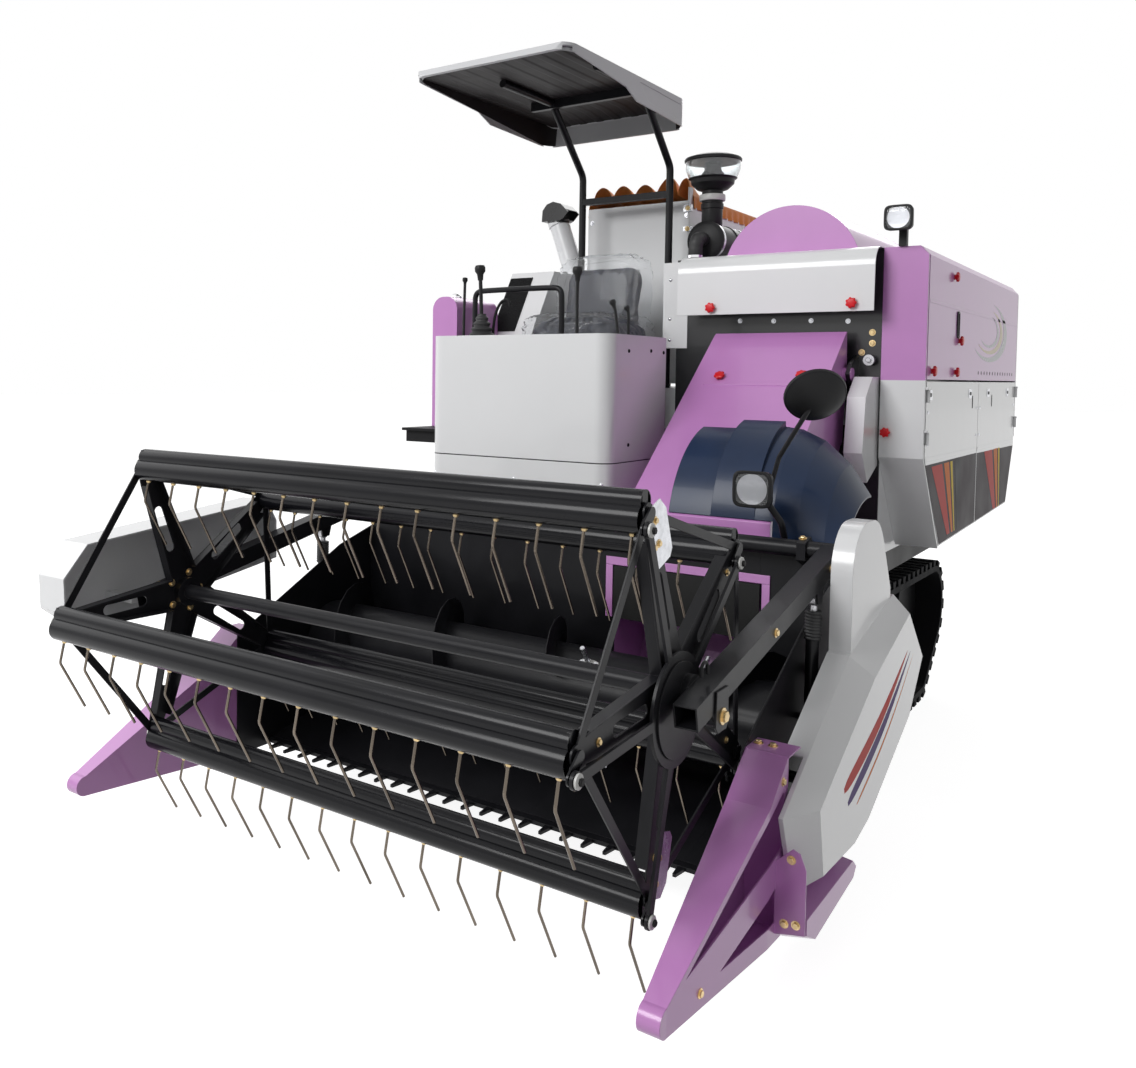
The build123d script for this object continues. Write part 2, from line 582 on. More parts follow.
# Crop dividers: folded sheet wedge, open on its outer side between the top plate and two ribs
divider_in, divider_out, divider_sheet = header_half + sheet + seat_gap, 1110.0, 4.0
divider_fold_y, divider_fold_z = -1690.0, 502.0
tip_in, tip_out, tip_low, tip_high = 1022.0, 1078.0, 172.0, 238.0
divider_windows = [
    [(divider_rear_y - 24, 520), (divider_rear_y - 24, 372), (-2130, 262), (divider_fold_y, 476)],
    [(divider_rear_y - 24, 292), (divider_rear_y - 24, 186), (-1960, 204)],
]
plate_y = -1640.0
skid_in = [(plate_y, 160), (plate_y, 212), (-1190, 212), (-1150, 182), (-1186, 152), (-1560, 118)]
skid_out = [(plate_y + 16, 172), (plate_y + 16, 212), (-1214, 212), (-1180, 184), (-1206, 160),
            (-1550, 132)]
dividers = {}
for side, sign in (("left", 1), ("right", -1)):
    with BuildPart() as divider:
        for ends, mode in (
            (((divider_rear_y, (divider_in, divider_out), (132, divider_top)),
              (divider_fold_y, (divider_in, divider_out), (140, divider_fold_z)),
              (divider_tip_y, (tip_in, tip_out), (tip_low, tip_high))), Mode.ADD),
            (((divider_rear_y - divider_sheet, (divider_in + divider_sheet, divider_out - divider_sheet),
               (136, divider_top - 5)),
              (divider_fold_y, (divider_in + divider_sheet, divider_out - divider_sheet),
               (144, divider_fold_z - 5)),
              (divider_tip_y + 60, (tip_in + 2, tip_out - 2), (tip_low + 4, tip_high + 20))),
             Mode.SUBTRACT),
        ):
            loft([box_face(y, sorted((sign * x[0], sign * x[1])), z) for y, x, z in ends],
                 ruled=True, mode=mode)
        near, far = sorted((sign * tip_in, sign * tip_out))
        disc((tip_high - tip_low) / 2, near, far, divider_tip_y, (tip_low + tip_high) / 2)
        near, far = sorted((sign * 1064, sign * (divider_out + 1)))
        for window in divider_windows:
            side_prism(window, near, far, mode=Mode.SUBTRACT)
        near, far = sorted((sign * divider_in, sign * (divider_out + 2)))
        block((near, far), (divider_rear_y - divider_sheet, divider_rear_y + 90),
              (divider_top - divider_sheet, divider_top))
        if side == "left":
            front_prism([(divider_out - 2, 162), (1188, 178), (1188, 345), (1172, 385), (1153, 393),
                         (divider_out - 2, 350)], plate_y, plate_y + divider_sheet)
            loft([outline_face(Plane.YZ.offset(divider_out - 2), skid_in),
                  outline_face(Plane.YZ.offset(1188), skid_out)], ruled=True)
            loft([outline_face(Plane.YZ.offset(divider_out + 2), skid_in, -divider_sheet),
                  outline_face(Plane.YZ.offset(1188 - divider_sheet), skid_out, -divider_sheet)],
                 ruled=True, mode=Mode.SUBTRACT)
    dividers[side] = divider

# Left header cover: body bevelled between two outlines, with a tall round-topped hump
cover_mid_outline = [(-1655, 470), (-1100, 770), (-600, 872), (-385, 640), (-560, 440),
                     (-1050, 250), (-1240, 222), (-1560, 240)]
cover_out_outline = [(-1545, 470), (-1040, 700), (-626, 820), (-420, 634), (-590, 470),
                     (-1066, 285), (-1210, 262), (-1500, 280)]
hump_front, hump_rear, hump_top, hump_round = -1085.0, -640.0, 1150.0, 150.0
with BuildPart() as header_cover:
    side_prism(cover_mid_outline, cover_in, cover_mid)
    loft([outline_face(Plane.YZ.offset(cover_mid), cover_mid_outline),
          outline_face(Plane.YZ.offset(cover_out), cover_out_outline)], ruled=True)
    with BuildSketch(Plane.YZ.offset(cover_in)) as hump:
        with BuildLine():
            Polyline((hump_front, 700), (hump_rear, 860), (hump_rear, 900),
                     (hump_rear - 150, hump_top), (hump_front, hump_top), close=True)
        make_face()
        fillet([v for v in hump.vertices() if v.Y > hump_top - 1], hump_round)
    extrude(hump.sketch, amount=cover_mid - cover_in)
    with BuildSketch(Plane.YZ.offset(cover_in)) as hump_inside:
        add(hump.sketch)
        offset(amount=-sheet, kind=Kind.INTERSECTION)
    extrude(hump_inside.sketch, amount=cover_mid - cover_in - sheet, mode=Mode.SUBTRACT)
    extrude(outline_face(Plane.YZ.offset(cover_in), cover_mid_outline, -sheet),
            amount=cover_mid - cover_in, mode=Mode.SUBTRACT)
    loft([outline_face(Plane.YZ.offset(cover_mid), cover_mid_outline, -sheet - 2),
          outline_face(Plane.YZ.offset(cover_out - sheet), cover_out_outline, -sheet - 2)],
         ruled=True, mode=Mode.SUBTRACT)
    block((cover_in - 1, 1118), (-1700, divider_rear_y + 96), (200, 800), mode=Mode.SUBTRACT)
    for y, z in cover_bolts:
        side_prism([(y - 30, z - 200), (y + 30, z - 200), (y + 30, z + 190), (y - 30, z + 190)],
                   cover_in, cover_in + sheet)

# Moulded guard behind the header's left half: crescents as (x, foot, crown y, crown, rear y, rear)
guard_front_y, guard_wall = beam_rear + 8, 6.0
foot_inner = feeder_top(guard_front_y + guard_wall) + 1.3 * seat_gap
guard_sections = {
    "over the feeder": [(380, foot_inner, -640, 1290, -445, 1400), (540, foot_inner, -640, 1290, -445, 1400),
                        (541, foot_inner, -650, 1310, -445, 1432), (700, foot_inner, -650, 1310, -445, 1432),
                        (701, foot_inner, -640, 1300, -445, 1412), (766, foot_inner, -640, 1296, -445, 1404)],
    "beside it": [(766, 1002, -690, 1250, -445, 1404), (850, 1002, -688, 1220, -445, 1366),
                  (940, 1002, -684, 1170, -445, 1286), (1010, 1002, -676, 1100, -445, 1180)],
}


def crescent(x, foot, crown_y, crown_z, rear_y, rear_z):
    """Curved strip of sheet across X, from a foot over a crown to its rear edge."""
    with BuildSketch(Plane.YZ.offset(x)) as strip:
        with BuildLine():
            Line((guard_front_y + guard_wall, foot), (guard_front_y, foot))
            ThreePointArc((guard_front_y, foot), (crown_y, crown_z), (rear_y, rear_z))
            Line((rear_y, rear_z), (rear_y, rear_z - guard_wall))
            ThreePointArc((rear_y, rear_z - guard_wall),
                          (crown_y + 0.7 * guard_wall, crown_z - 0.7 * guard_wall),
                          (guard_front_y + guard_wall, foot))
        make_face()
    return strip.sketch


with BuildPart() as drive_guard:
    for sections in guard_sections.values():
        loft([crescent(*section) for section in sections], ruled=True)

# Auger: pipe with two opposed flights and crop fingers in front of the mouth
flight_steps = 20
finger_x = [feeder_in + 30 + 62 * number for number in range(9)]
with BuildPart() as auger:
    disc(auger_pipe, -auger_half, auger_half, auger_y, auger_z)
    disc(auger_pipe - sheet, -auger_half - 1, auger_half + 1, auger_y, auger_z, mode=Mode.SUBTRACT)
    for x in (-auger_half + 10, auger_half - 18):
        with BuildSketch(Plane.YZ.offset(x)) as web:
            with Locations((auger_y, auger_z)):
                Circle(auger_pipe - sheet + 1)
                with PolarLocations(90, 5):
                    Circle(28, mode=Mode.SUBTRACT)
        extrude(web.sketch, amount=8)
    disc(30, -header_half + seat_gap, header_half - seat_gap, auger_y, auger_z)
    for number, x in enumerate(finger_x):
        along = Vector(0, cos(number * 2.2), sin(number * 2.2))
        start = Vector(x, auger_y, auger_z) + along * (auger_pipe - 10)
        with BuildSketch(Plane(origin=start, z_dir=along)) as finger:
            Circle(7)
        extrude(finger.sketch, amount=auger_flight - auger_pipe)

    for x_from, x_to, hand in ((-auger_half + 4, feeder_in - 10, 1),
                               (auger_half - 4, feeder_out + 10, 1)):
        length = abs(x_to - x_from)
        steps = max(6, round(length / flight_pitch * flight_steps))
        inner = (auger_pipe + seat_gap) / cos(pi / flight_steps)
        blades = []
        for number in range(steps + 1):
            x = x_from + (x_to - x_from) * number / steps
            angle = hand * 2 * pi * number * length / steps / flight_pitch
            out_way = Vector(0, cos(angle), sin(angle))
            edge = Plane(origin=(x, auger_y, auger_z), x_dir=out_way,
                         z_dir=Vector(0, -sin(angle), cos(angle)))
            half = flight_gauge / 2
            blades.append(outline_face(edge, [(inner, -half), (auger_flight, -half),
                                              (auger_flight, half), (inner, half)]))
        loft(blades, ruled=True)

# Reel arms, torsion tube, bearings and the fixed disc of the tine control
arm_angle = degrees(atan2(arm_pivot_z - reel_z, arm_pivot_y - reel_y))
arm_run = hypot(arm_pivot_z - reel_z, arm_pivot_y - reel_y)


def along_arm(distance, across):
    """Point (y, z) at a distance from the reel's axis along the arm and across it."""
    y, z = turned((distance, across), arm_angle)
    return reel_y + y, reel_z + z


def arm_box(start, end, half):
    """Outline of a box along the arm."""
    return [along_arm(start, -half), along_arm(end, -half), along_arm(end, half),
            along_arm(start, half)]


bearing_in, bearing_out = control_x + control_gauge + run_gap, arm_x
ram_head_z = reel_z + (reel_ram_head_y - reel_y) * tan(radians(arm_angle)) - ram_head_drop
with BuildPart() as reel_arms:
    disc(torsion_radius, -torsion_half, torsion_half, arm_pivot_y, arm_pivot_z)
    for sign in (1, -1):
        near, far = sorted((sign * arm_x, sign * (arm_x + arm_tube)))
        side_prism(arm_box(-arm_nose, arm_run - 20, arm_tube / 2), near, far)
        side_prism(arm_box(-arm_nose - 1, arm_run - 60, arm_tube / 2 - arm_wall),
                   near + arm_wall, far - arm_wall, mode=Mode.SUBTRACT)
        near, far = sorted((sign * bearing_in, sign * bearing_out))
        disc(46, near, far, reel_y, reel_z)
        near, far = sorted((sign * (reel_ram_x - 19), sign * (reel_ram_x + 19)))
        disc(ram_pin, near, far, reel_ram_head_y, ram_head_z)
        for x in (reel_ram_x - 19, reel_ram_x + 13):
            near, far = sorted((sign * x, sign * (x + 6)))
            side_prism([(reel_ram_head_y - 34, ram_head_z + ram_head_drop - 26),
                        (reel_ram_head_y - 18, ram_head_z - 14), (reel_ram_head_y + 18, ram_head_z - 14),
                        (reel_ram_head_y + 34, ram_head_z + ram_head_drop - 18)], near, far)
    disc(control_disc, control_x - 3, control_x + control_gauge + 5, reel_y + control_y,
         reel_z + control_z)
    disc(shaft_radius + pin_gap, control_x - 4, arm_x + 1, reel_y, reel_z, mode=Mode.SUBTRACT)
    disc(shaft_radius + pin_gap, -arm_x - 1, -bearing_in + 1, reel_y, reel_z, mode=Mode.SUBTRACT)

# Reel frame: shaft and two five-armed spiders with straps between their tips
half_step = 180 / bar_count
strap_reach = bar_circle * cos(radians(half_step))
bar_angles = [bar_first_angle + 360 / bar_count * number for number in range(bar_count)]
with BuildPart() as reel_frame:
    disc(shaft_radius, -arm_x + 1, arm_x - 1, reel_y, reel_z)
    for sign in (1, -1):
        near, far = sorted((sign * spider_x, sign * (spider_x + spider_gauge)))
        with BuildSketch(Plane.YZ.offset(near)) as web:
            with Locations((reel_y, reel_z)):
                Circle(spider_hub)
                with PolarLocations(0, bar_count, start_angle=bar_first_angle):
                    Polygon((0, -arm_root / 2), (bar_circle - 60, -arm_tip / 2), (bar_circle, -24),
                            (bar_circle, 24), (bar_circle - 60, arm_tip / 2), (0, arm_root / 2),
                            align=None)
                with PolarLocations(bar_circle, bar_count, start_angle=bar_first_angle):
                    Circle(24)
                with PolarLocations(strap_reach, bar_count, start_angle=bar_first_angle + half_step):
                    Rectangle(strap_width, 2 * strap_reach * tan(radians(half_step)))
                with PolarLocations(bar_circle, bar_count, start_angle=bar_first_angle):
                    Circle(journal_radius + pin_gap, mode=Mode.SUBTRACT)
                with PolarLocations(bar_circle * 0.5, bar_count, start_angle=bar_first_angle):
                    SlotOverall(170, 34, mode=Mode.SUBTRACT)
        extrude(web.sketch, amount=far - near)
        near, far = sorted((sign * (spider_x - spider_depth), sign * spider_x))
        with BuildSketch(Plane.YZ.offset(near)) as flange:
            with Locations((reel_y, reel_z)):
                with PolarLocations(0, bar_count, start_angle=bar_first_angle):
                    for side in (1, -1):
                        Polygon((spider_hub - 6, side * 54), (bar_circle - 64, side * arm_tip / 2),
                                (bar_circle - 64, side * (arm_tip / 2 - 4)),
                                (spider_hub - 6, side * 50), align=None)
                Circle(shaft_radius + 24)
        extrude(flange.sketch, amount=far - near)

# Tine bars: two-lobed tube with journals, a crank on the left end and a row of bent tines
tine_pitch = 2 * tine_half / (tine_count - 1)
bars = []
for angle in bar_angles:
    pivot_y, pivot_z = turned((bar_circle, 0), angle)
    pivot_y, pivot_z = reel_y + pivot_y, reel_z + pivot_z
    with BuildPart() as bar:
        with BuildSketch(Plane.YZ.offset(-bar_half)) as section:
            with Locations((pivot_y - 4, pivot_z - bar_low_drop)):
                Circle(bar_low_lobe)
            with Locations((pivot_y + 4, pivot_z + bar_high_rise)):
                Circle(bar_high_lobe)
            with Locations((pivot_y - 4, pivot_z - bar_low_drop)):
                Circle(bar_low_lobe - light_sheet, mode=Mode.SUBTRACT)
            with Locations((pivot_y + 4, pivot_z + bar_high_rise)):
                Circle(bar_high_lobe - light_sheet, mode=Mode.SUBTRACT)
        extrude(section.sketch, amount=2 * bar_half)
        for x in (-bar_half, bar_half - 8):
            block((x, x + 8), (pivot_y - 14, pivot_y + 14), (pivot_z - 50, pivot_z + 50))
        disc(journal_radius, -spider_x - spider_gauge - 6, 20 - bar_half, pivot_y, pivot_z)
        disc(journal_radius, bar_half - 20, crank_x + crank_gauge, pivot_y, pivot_z)
        with BuildSketch(Plane.YZ.offset(crank_x)) as crank:
            with Locations((pivot_y, pivot_z), (pivot_y + control_y, pivot_z + control_z)):
                Circle(crank_width / 2)
            with Locations((pivot_y + control_y / 2, pivot_z + control_z / 2)):
                Rectangle(hypot(control_y, control_z), crank_width,
                          rotation=degrees(atan2(control_z, control_y)))
        extrude(crank.sketch, amount=crank_gauge)
        disc(crank_pin, crank_x, control_x + control_gauge + 2, pivot_y + control_y,
             pivot_z + control_z)
        for number in range(tine_count):
            x = -tine_half + number * tine_pitch
            bent_rod([(x, pivot_y + y, pivot_z + z) for y, z in tine_route], tine_wire, 18)
    bars.append(bar)

# Control frame: ring on the fixed disc, with an arm to each crank's pin
with BuildPart() as control_frame:
    with BuildSketch(Plane.YZ.offset(control_x)) as frame_face:
        with Locations((reel_y + control_y, reel_z + control_z)):
            Circle(control_disc + control_rim)
            with PolarLocations(bar_circle, bar_count, start_angle=bar_first_angle):
                Circle(20)
            with PolarLocations(bar_circle / 2, bar_count, start_angle=bar_first_angle):
                Rectangle(bar_circle, strap_width)
            Circle(control_disc + pin_gap, mode=Mode.SUBTRACT)
            with PolarLocations(bar_circle, bar_count, start_angle=bar_first_angle):
                Circle(crank_pin + pin_gap, mode=Mode.SUBTRACT)
    extrude(amount=control_gauge)

# Reel drive cover on the right arm: open-sided case over the reel's belt
with BuildPart() as reel_cover:
    case = [(-2270, 790), (-2275, 905), (-2185, 1010), (-1380, 1085), (-1330, 1000), (-1330, 850),
            (-2180, 720)]
    inner_case = [(-2262, 794), (-2267, 902), (-2181, 1004), (-1384, 1079), (-1336, 998),
                  (-1336, 857), (-2178, 728)]
    side_prism(case, -cover_out, -arm_x - arm_tube - 8)
    side_prism(inner_case, -cover_out + light_sheet, -arm_x - arm_tube - 8, mode=Mode.SUBTRACT)
    for y in (-2000, -1500):
        z = reel_z + (y - reel_y) * tan(radians(arm_angle))
        block((-cover_out + light_sheet - 1, -arm_x - arm_tube), (y - 20, y + 20), (z - 12, z + 12))


def ram_barrel(foot, head, share, radius, rod, pin, x, half):
    """Barrel of a hydraulic ram: an eye on the foot pin and a tube open towards the head."""
    start, end = Vector(x, *foot), Vector(x, *head)
    way = (end - start).normalized()
    mouth = start + (end - start) * share
    disc(radius, x - half, x + half, *foot)
    bar_between(radius, start + way * (pin + 2), mouth)
    bar_between(rod + pin_gap, start + way * (pin + 24), mouth + way, mode=Mode.SUBTRACT)
    disc(pin + pin_gap, x - 2 * radius, x + 2 * radius, *foot, mode=Mode.SUBTRACT)


def ram_piston(foot, head, rod, pin, x, half, slack):
    """Rod of a hydraulic ram: from inside the barrel to an eye on the head pin."""
    start, end = Vector(x, *foot), Vector(x, *head)
    way = (end - start).normalized()
    bar_between(rod, start + way * (pin + 56), end - way * (pin + slack + 4))
    disc(pin + slack + 8, x - half, x + half, *head)
    disc(pin + slack, x - 2 * half, x + 2 * half, *head, mode=Mode.SUBTRACT)


# Rams that lift the reel, one at each end, and the one that lifts the header
reel_foot, reel_head = (reel_ram_foot_y, reel_ram_foot_z), (reel_ram_head_y, ram_head_z)
with BuildPart() as reel_ram_barrels:
    for sign in (1, -1):
        ram_barrel(reel_foot, reel_head, 0.7, ram_radius, ram_rod, ram_pin, sign * reel_ram_x,
                   ram_eye_half)
with BuildPart() as reel_ram_rods:
    for sign in (1, -1):
        ram_piston(reel_foot, reel_head, ram_rod, ram_pin, sign * reel_ram_x, ram_eye_half,
                   ram_eye_slack)
lift_foot, lift_eye = (lift_foot_y, lift_foot_z), (lift_eye_y, lift_eye_z)
with BuildPart() as lift_barrel:
    ram_barrel(lift_foot, lift_eye, 0.82, lift_radius, lift_rod_radius, lift_pin, lift_x, 11)
with BuildPart() as lift_rod:
    ram_piston(lift_foot, lift_eye, lift_rod_radius, lift_pin, lift_x, 13, lift_eye_slack)

# Operator's floor on two posts, its console and handrail
floor_front, floor_rear = console_rear + seat_gap, 250 - seat_gap
with BuildPart() as platform:
    block((-990, body_right - seat_gap), (floor_front, floor_rear), (floor_z - 12, floor_z))
    block((-10 + seat_gap, console_left), (seat_gap - 200, body_front - seat_gap),
          (floor_z - 12, floor_z), mode=Mode.ADD)
    block((-10 - seat_gap, console_left + 1), (floor_front - 1, -200 + seat_gap),
          (floor_z - 13, floor_z + 1), mode=Mode.SUBTRACT)
    for y in (-600, -232):
        block((-980, -12), (y, y + 50), (floor_z - 62, floor_z - 12))
    for x in (-708, -232):
        block((x, x + 56), (-232, -182), (rail_high, floor_z - 62))
        side_prism([(-600, floor_z - 62), (-560, floor_z - 62), (-232, 960), (-232, 900)], x, x + 56)
console_plan = [(console_right, console_front), (console_left, console_front), (console_left, -200),
                (-10, -200), (-10, console_rear), (console_right, console_rear)]
with BuildPart() as console:
    with BuildSketch(Plane.XY.offset(console_low)) as plan:
        with BuildLine():
            Polyline(*console_plan, close=True)
        make_face()
        fillet([v for v in plan.vertices() if v.Y < console_front + 1], 60)
    extrude(plan.sketch, amount=console_top - console_low)
    with BuildSketch(Plane.XY.offset(console_low)) as plan_inside:
        add(plan.sketch)
        offset(amount=-sheet, kind=Kind.INTERSECTION)
    extrude(plan_inside.sketch, amount=console_top - console_low - sheet, mode=Mode.SUBTRACT)
    with BuildSketch(Plane.XY.offset(console_seam)) as seam:
        add(plan.sketch)
        with BuildSketch(mode=Mode.PRIVATE) as seam_inside:
            add(plan.sketch)
            offset(amount=-seam_depth, kind=Kind.INTERSECTION)
        add(seam_inside.sketch, mode=Mode.SUBTRACT)
    extrude(seam.sketch, amount=2 * seam_depth, mode=Mode.SUBTRACT)

# Levers with knobs on the console, the main one with a bellows, and the handrail
lever_radius = 8.0
lever_table = [(-640, -655, 1985, 19), (-70, -655, 1975, 15), (40, -500, 1925, 15), (40, -430, 1885, 15)]
with BuildPart() as levers:
    for x, y, top, knob in lever_table:
        post(lever_radius, x, y, console_top + seat_gap, top)
        post(knob, x, y, top - 46, top)
    with Locations((-640, -655, console_top + seat_gap + 30)):
        Cone(46, 14, 60)
    bent_rod([(-728, -430, floor_z + seat_gap), (-728, -430, 1960), (-275, -430, 1960),
              (-275, -430, floor_z + seat_gap)], 12, 70)

# Seat on its pedestal
with BuildPart() as seat_base:
    block((-560, -140), (-210, 200), (floor_z, 1640))
    block((-560 + sheet, -140 - sheet), (-210 + sheet, 200 - sheet), (floor_z, 1640 - sheet),
          mode=Mode.SUBTRACT)
with BuildPart() as seat:
    block((-590, -110), (-250, 170), (1640, 1850))
    fillet(seat.edges().filter_by(Axis.Z), 50)
    lean_back = Plane(origin=(-350, 70, 1950.7), x_dir=(1, 0, 0), z_dir=(0, cos(radians(8)), -sin(radians(8))))
    with BuildSketch(lean_back) as back:
        RectangleRounded(440, 300, 90)
    extrude(back.sketch, amount=85)

# Radiator case at the seat's right and the rounded cover beside it
with BuildPart() as radiator_case:
    side_prism([(-60, floor_z), (-60, 1780), (130, 2100), (325, 2100), (325, deck_z + seat_gap),
                (250 - seat_gap, deck_z + seat_gap), (250 - seat_gap, floor_z)], -900, -655)
    side_prism([(-52, floor_z - 1), (-52, 1777), (134, 2092), (317, 2092), (317, deck_z - 1),
                (242, deck_z - 1), (242, floor_z - 1)], -892, -663, mode=Mode.SUBTRACT)
with BuildPart() as right_cover:
    with BuildSketch(Plane.XZ.offset(400)) as end:
        with BuildLine():
            Polyline((-990, floor_z), (-990, 1950), (-850, 1950), (-850, floor_z), close=True)
        make_face()
        fillet([v for v in end.vertices() if v.Y > 1900], 60)
    extrude(end.sketch, amount=-330)
    block((-990 + sheet, -850 - sheet), (-400 + sheet, -70 - sheet), (floor_z - 1, 1950 - 70),
          mode=Mode.SUBTRACT)

# Grain tank with the unloading tube's pin and a post at its front corner, and its tarpaulin
tube_y, tube_radius, tube_pin = 388.0, 52.0, 22.0
tube_foot_x, tube_foot_z, tube_head_x, tube_head_z = -545.0, 1700.0, -795.0, 2400.0
hood_outline = [(-62, -20), (-58, 36), (-34, 66), (4, 78), (50, 64), (92, 22), (60, -12), (44, -20)]
tank_wall = 4.0
with BuildPart() as grain_tank:
    block((tank_right, tank_left), (tank_front, tank_rear), (tank_floor, tank_top))
    block((tank_right + tank_wall, tank_left - tank_wall),
          (tank_front + tank_wall, tank_rear - tank_wall), (tank_floor + tank_wall, tank_top + 1),
          mode=Mode.SUBTRACT)
    for radius, length in ((68, 5), (tube_pin, 105)):
        with BuildSketch(Plane.XZ.offset(-tank_front - 1)) as plate:
            with Locations((tube_foot_x, tube_foot_z)):
                Circle(radius)
        extrude(plate.sketch, amount=length + 1)
    block((tank_left - 7, tank_left), (tank_front - 20, tank_front + 20), (body_top, tank_top + 60))
with BuildPart() as tank_tarp:
    block((tank_right - 6, tank_left + 6), (tank_front + 21, tank_rear + 6), (tank_top - 60, tank_top + 40))
    block((tank_right - seat_gap, tank_left + seat_gap), (tank_front + 20, tank_rear + seat_gap),
          (tank_top - 61, tank_top + seat_gap), mode=Mode.SUBTRACT)
    block((tank_right + 4, tank_left - 4), (tank_front + 27, tank_rear - 4),
          (tank_top, tank_top + 34), mode=Mode.SUBTRACT)

# Unloading tube in front of the tank, with its mouth
with BuildPart() as unloading_tube:
    foot, head = (tube_foot_x, tube_y, tube_foot_z), (tube_head_x, tube_y, tube_head_z)
    lean = (Vector(*head) - Vector(*foot)).normalized()
    bar_between(tube_radius, foot, head)
    bar_between(tube_radius + 6, Vector(*head) - lean * 40, Vector(*head))
    corners = [(tube_head_x + x, tube_head_z + z) for x, z in hood_outline]
    front_prism(corners, tube_y - tube_radius - 6, tube_y + tube_radius + 6)
    front_prism([(x + (tube_head_x - x) * 0.08, z + (tube_head_z + 20 - z) * 0.08) for x, z in corners],
                tube_y - tube_radius - 2, tube_y + tube_radius + 2, mode=Mode.SUBTRACT)
    front_prism([corners[5], corners[6], (corners[6][0] - 14, corners[6][1] + 12),
                 (corners[5][0] - 14, corners[5][1] + 14)],
                tube_y - tube_radius - 2, tube_y + tube_radius + 2, mode=Mode.SUBTRACT)
    bar_between(tube_radius - light_sheet, Vector(*foot) + lean * 60, Vector(*head) + lean * 61,
                mode=Mode.SUBTRACT)
    with BuildSketch(Plane.XZ.offset(-tube_y - tube_radius)) as boss:
        with Locations((tube_foot_x, tube_foot_z)):
            Circle(60)
    extrude(boss.sketch, amount=2 * tube_radius)
    with BuildSketch(Plane.XZ.offset(-tube_y - tube_radius - 1)) as bore:
        with Locations((tube_foot_x, tube_foot_z)):
            Circle(tube_pin + pin_gap)
    extrude(bore.sketch, amount=2 * tube_radius + 2, mode=Mode.SUBTRACT)
# Canopy on its two bent posts
canopy_wall, panel_depth, canopy_corner = 5.0, 2.0, 80.0
with BuildPart() as canopy:
    side_prism([(canopy_front, 2868), (-684, 2898), (380, canopy_top), (canopy_rear, 2875), (430, 2775),
                (-97, 2790), (-197, 2830)], canopy_right, canopy_left)
    with BuildSketch(Plane.XY.offset(2700)) as canopy_plan:
        with Locations(((canopy_right + canopy_left) / 2, (canopy_front + canopy_rear) / 2)):
            RectangleRounded(canopy_left - canopy_right, canopy_rear - canopy_front, canopy_corner)
    extrude(canopy_plan.sketch, amount=300, mode=Mode.INTERSECT)
    side_prism([(-690, 2700), (-682, 2885), (376, 2893), (424, 2868), (420, 2700)],
               canopy_right + canopy_wall, canopy_left - canopy_wall, mode=Mode.SUBTRACT)
    for x_from, x_to in ((canopy_right - 1, canopy_right + panel_depth),
                         (canopy_left - panel_depth, canopy_left + 1)):
        side_prism([(-70, 2880), (395, 2874), (390, 2797), (20, 2812)], x_from, x_to,
                   mode=Mode.SUBTRACT)
with BuildPart() as canopy_frame:
    for x in (post_right_x, post_left_x):
        bent_rod([(x, post_y, deck_z + seat_gap), (x, post_y, 2577), (x, 0, 2870), (x, -420, 2867)],
                 post_radius, 60)
    block((post_right_x, post_left_x), (post_y - 15, post_y + 15), (2435, 2465))
    block((post_right_x - 110, post_left_x), (-15, 12), (2846, 2889.7))

# Air cleaner on its saddle: canister with an outlet elbow, neck, and pre-cleaner turned on its axis
cleaner_x, cleaner_z, cleaner_radius = 38.0, 2226.0, 85.0
cleaner_front, cleaner_rear, neck_y, neck_radius = 320.0, 700.0, 400.0, 48.0
bowl_profile = [(0, 2372), (neck_radius, 2372), (neck_radius, 2462), (72, 2470), (100, 2496),
                (100, 2512), (112, 2520), (127, 2560), (129, 2596), (133, 2600), (131, 2610),
                (96, 2624), (0, 2630)]
with BuildPart() as air_cleaner:
    with BuildSketch(Plane.XZ.offset(-cleaner_rear)) as can:
        with Locations((cleaner_x, cleaner_z)):
            Circle(cleaner_radius)
    extrude(can.sketch, amount=cleaner_rear - cleaner_front)
    for y in (cleaner_front - 4, 520):
        with BuildSketch(Plane.XZ.offset(-y - 12)) as rim:
            with Locations((cleaner_x, cleaner_z)):
                Circle(cleaner_radius + 5)
        extrude(rim.sketch, amount=12)
    for y in (400, 610):
        block((cleaner_x - 45, cleaner_x + 45), (y, y + 40), (body_top, cleaner_z - 60))
    post(neck_radius, cleaner_x, neck_y, cleaner_z, 2380)
    with BuildSketch(Plane.XZ.offset(-neck_y)) as bowl_half:
        with BuildLine():
            Polyline(*[(cleaner_x + x, z) for x, z in bowl_profile], close=True)
        make_face()
    revolve(bowl_half.sketch, axis=Axis((cleaner_x, neck_y, 0), (0, 0, 1)))
    bent_rod([(cleaner_x - 8, cleaner_front + 4, cleaner_z + 4), (cleaner_x - 8, 262, cleaner_z + 4),
              (cleaner_x - 20, 262, 2142)], 32, 44)

# Work lamp on its bracket above the front strip
lamp_sizes = {"work": (953, 2222, 50, 135, 104, 76), "header": (756, 1223, -925, -850, 128, 88)}


def lamp_case(x, z, y_front, y_rear, front, rear):
    """Lamp case that narrows from its square, rounded glass to its back."""
    with BuildSketch(Plane.XZ.offset(-y_front)) as glass:
        with Locations((x, z)):
            RectangleRounded(front, front * 0.92, front * 0.2)
    with BuildSketch(Plane.XZ.offset(-y_front - 22)) as shoulder:
        with Locations((x, z)):
            RectangleRounded(front, front * 0.92, front * 0.2)
    with BuildSketch(Plane.XZ.offset(-y_rear)) as back:
        with Locations((x, z)):
            RectangleRounded(rear, rear * 0.92, rear * 0.2)
    loft([glass.sketch, shoulder.sketch], ruled=True)
    loft([shoulder.sketch, back.sketch], ruled=True)


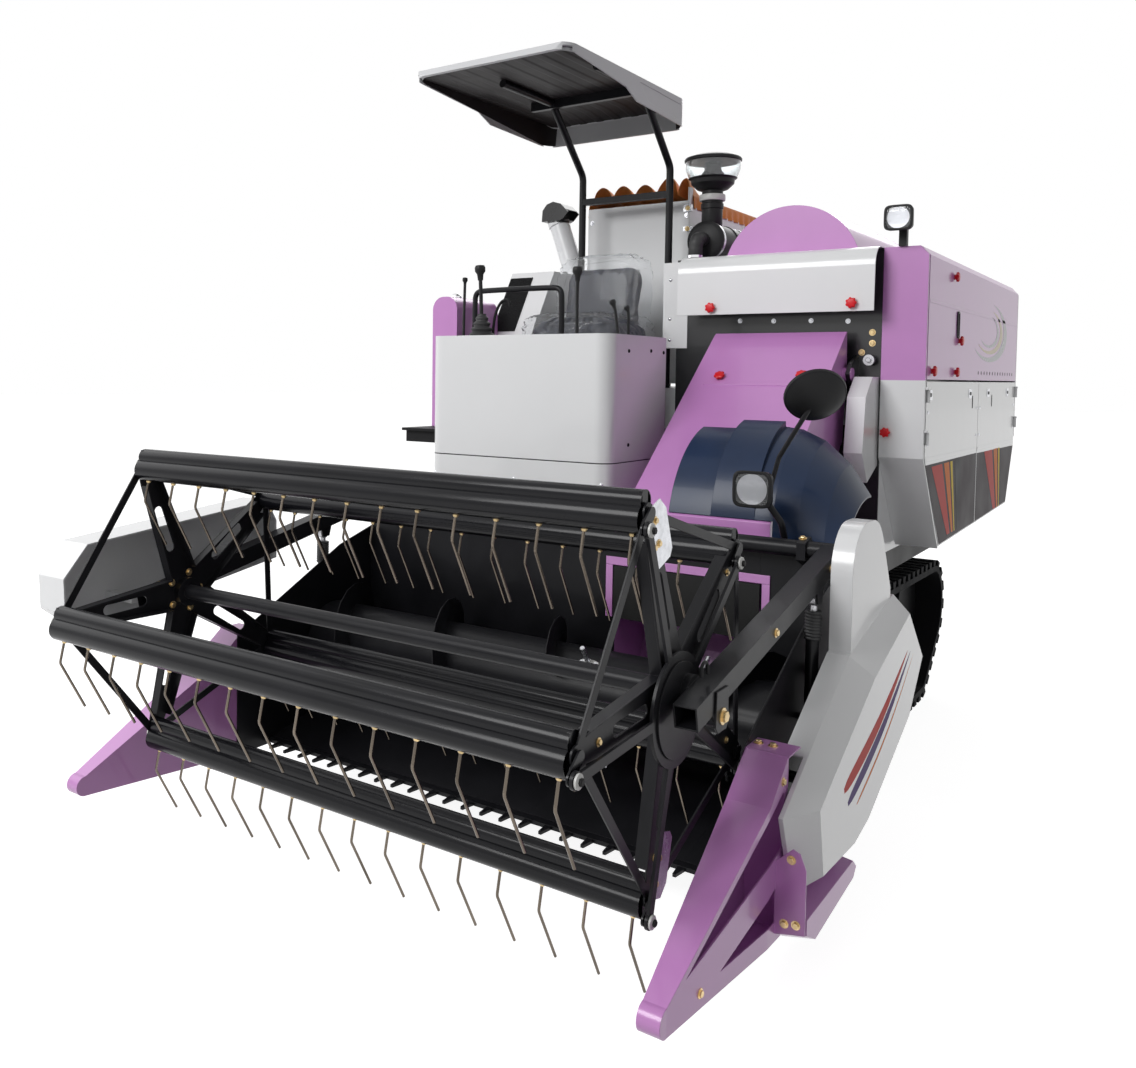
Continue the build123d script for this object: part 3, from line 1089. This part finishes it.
with BuildPart() as work_lamp:
    lamp_case(*lamp_sizes["work"])
    block((938, 968), (135 - 4, 157), (body_top + seat_gap, 2240))

# Lamp and round mirror on the header's rear beam
stalk_x, mirror_radius = 832.0, 96.0
mirror_place, mirror_back = Vector(937, -870, 1537), Vector(0.45, -0.70, -0.55).normalized()
with BuildPart() as lamp_mirror:
    block((stalk_x - 20, stalk_x + 20), (mouth_y + 10, mouth_y + 50),
          (rear_wall_top + seat_gap, rear_wall_top + 12))
    bent_rod([(stalk_x, mouth_y + 30, rear_wall_top + 6), (stalk_x - 6, -835, 1110), (756, -846, 1205)],
             11, 40)
    lamp_case(*lamp_sizes["header"])
    bent_rod([(790, -856, 1215), (822, -860, 1330), tuple(mirror_place + mirror_back * 16)], 8, 30)
    for from_radius, to_radius, start, reach in ((mirror_radius, mirror_radius, 0, 8),
                                                 (mirror_radius, 50, 8, 26)):
        with BuildSketch(Plane(origin=mirror_place + mirror_back * start, z_dir=mirror_back)) as low:
            Circle(from_radius)
        with BuildSketch(Plane(origin=mirror_place + mirror_back * reach, z_dir=mirror_back)) as high:
            Circle(to_radius)
        loft([low.sketch, high.sketch], ruled=True)

exports = {
    "track_left": tracks["left"], "track_right": tracks["right"],
    "track_gear": track_gear,
    "drive_gearbox": drive_gearbox, "chassis_frame": chassis_frame, "engine_block": engine_block,
    "engine_cover": engine_cover, "threshing_body": threshing_body,
    "front_cover": front_cover, "drum_hood": drum_hood,
    "front_strip": front_strip, "side_cover": side_cover, "side_door_front": doors["front"],
    "side_door_rear": doors["rear"], "belt_drive": belt_drive, "drive_belts": drive_belts,
    "angled_guard": angled_guard, "feeder_house": feeder_house, "header_trough": header_trough,
    "knife_bar": knife_bar, "divider_left": dividers["left"], "divider_right": dividers["right"],
    "header_cover": header_cover, "drive_guard": drive_guard, "auger": auger,
    "reel_arms": reel_arms, "reel_frame": reel_frame,
    "control_frame": control_frame, "reel_cover": reel_cover,
    "reel_ram_barrels": reel_ram_barrels, "reel_ram_rods": reel_ram_rods,
    "lift_barrel": lift_barrel, "lift_rod": lift_rod, "platform": platform, "console": console,
    "levers": levers, "seat_base": seat_base, "seat": seat,
    "radiator_case": radiator_case, "right_cover": right_cover,
    "grain_tank": grain_tank, "tank_tarp": tank_tarp, "unloading_tube": unloading_tube,
    "canopy": canopy, "canopy_frame": canopy_frame,
    "air_cleaner": air_cleaner, "work_lamp": work_lamp, "lamp_mirror": lamp_mirror,
}
for number, bar in enumerate(bars, 1):
    exports[f"tine_bar_{number}"] = bar
for label, piece in exports.items():
    piece.part.label = label
    export_step(piece.part, f"parts/{label}.step")
